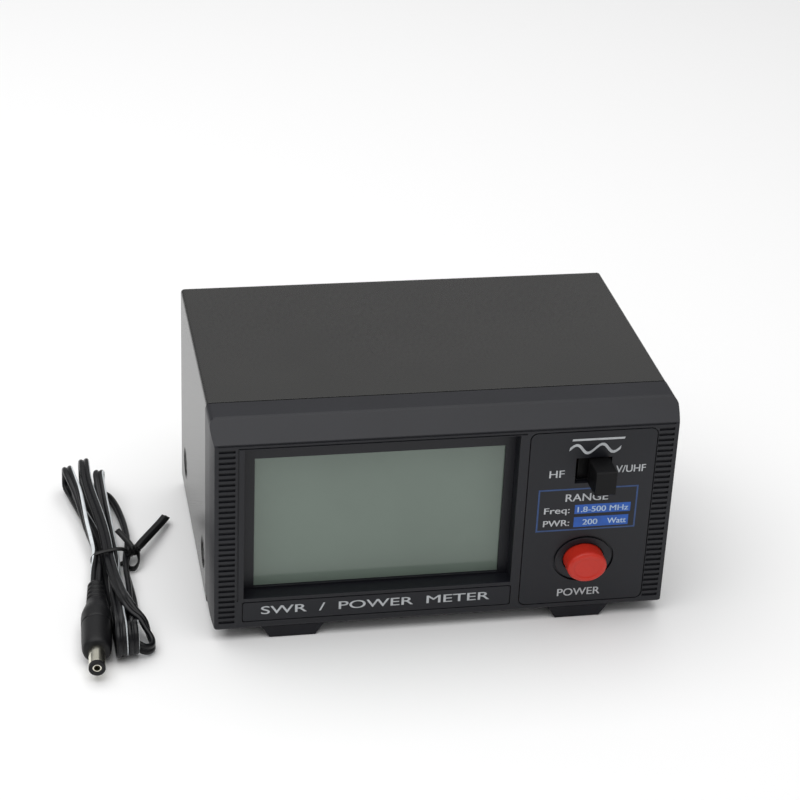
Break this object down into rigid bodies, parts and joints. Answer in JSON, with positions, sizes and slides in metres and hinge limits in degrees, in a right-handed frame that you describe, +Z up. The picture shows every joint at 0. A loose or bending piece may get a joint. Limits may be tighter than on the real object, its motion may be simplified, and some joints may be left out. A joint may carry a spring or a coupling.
{
  "type": "swr meter",
  "caption": "Bench SWR and power meter: steel case, sloped bezel with a large display, band switch, red power button, coax sockets behind, loose supply lead.",
  "frame": {"origin": "middle of the meter's footprint, on the surface that it stands on, without the loose lead", "axes": "+X to the right seen from the front, +Y to the rear, +Z up"},
  "size_m": [0.2055, 0.1396, 0.0806],
  "materials": {
    "cover_paint": "fine black textured enamel, satin",
    "zinc_steel": "bright zinc plated steel",
    "black_screw": "black oxide",
    "bezel_plastic": "fine spark eroded black ABS",
    "foot_plastic": "black moulded plastic",
    "black_plastic": "black moulded plastic",
    "lcd_glass": "grey green liquid crystal behind an anti glare film",
    "white_plastic": "natural white plastic",
    "contact_rubber": "layered contact rubber",
    "circuit_board": "green glass epoxy",
    "overlay_print": "printed matt overlay",
    "button_red": "red moulded plastic, satin face",
    "brown_laminate": "brown paper laminate",
    "tinned_metal": "tinned",
    "nickel_plate": "nickel plate",
    "brass_contact": "gold flashed brass",
    "copper_line": "bare copper",
    "ferrite": "dark ferrite",
    "wire_red": "wire sleeving",
    "cord_black": "soft twin cord, black with a light stripe",
    "plug_rubber": "moulded soft plastic"
  },
  "bodies": {
    "case": {"top_cover": "cover_paint", "bottom_chassis": "zinc_steel", "rear_panel": "cover_paint", "front_bezel": "bezel_plastic", "front_feet": "foot_plastic", "rear_feet": "foot_plastic", "foot_screws": "zinc_steel", "bezel_screws": "zinc_steel", "cover_screws": "black_screw", "rear_screws": "zinc_steel", "lcd_frame": "bezel_plastic", "lcd_glass": "lcd_glass", "lcd_backlight": "white_plastic", "zebra_strips": "contact_rubber", "display_board": "circuit_board", "controller_chip": "black_plastic", "board_parts": "black_plastic", "board_screws": "zinc_steel", "control_panel": "overlay_print", "title_strip": "overlay_print", "button_ring": "bezel_plastic", "power_spring": "zinc_steel", "power_switch_frame": "black_plastic", "power_switch_pins": "tinned_metal", "band_switch_frame": "zinc_steel", "band_switch_base": "brown_laminate", "band_switch_pins": "tinned_metal", "band_screws": "zinc_steel", "switch_board": "circuit_board", "switch_board_screws": "zinc_steel", "socket_shells": "nickel_plate", "socket_insulators": "white_plastic", "socket_contacts": "brass_contact", "socket_screws": "zinc_steel", "hf_sensor_box": "tinned_metal", "hf_sensor_lid": "tinned_metal", "hf_line": "copper_line", "hf_toroid": "ferrite", "hf_board": "circuit_board", "vuhf_sensor_box": "tinned_metal", "vuhf_sensor_lid": "tinned_metal", "vuhf_line": "copper_line", "vuhf_board": "circuit_board", "dc_jack_body": "black_plastic", "dc_jack_pin": "tinned_metal", "dc_jack_nut": "zinc_steel", "power_wires": "wire_red", "sensor_cables": "cord_black"},
    "power_key": {"power_button": "button_red", "power_plunger": "white_plastic"},
    "band_lever": {"band_knob": "black_plastic", "band_slider": "black_plastic"},
    "power_lead": {"lead_plug_body": "plug_rubber", "lead_plug_sleeve": "nickel_plate", "lead_plug_tip": "plug_rubber", "lead_plug_contact": "nickel_plate", "lead_tail": "cord_black", "lead_hank": "cord_black", "twist_tie": "cord_black"}
  },
  "joints": [
    {"name": "power_press", "type": "slide", "parent": "case", "child": "power_key", "axis": [0, 1, 0], "range_m": [0, 0.003], "stiffness_N_per_m": 300, "springref_m": -0.004},
    {"name": "band_slide", "type": "slide", "parent": "case", "child": "band_lever", "axis": [-1, 0, 0], "range_m": [0, 0.0038]},
    {"name": "lead_lift", "type": "slide", "parent": "case", "child": "power_lead", "axis": [0, 0, 1], "range_m": [0, 0.12]}
  ]
}
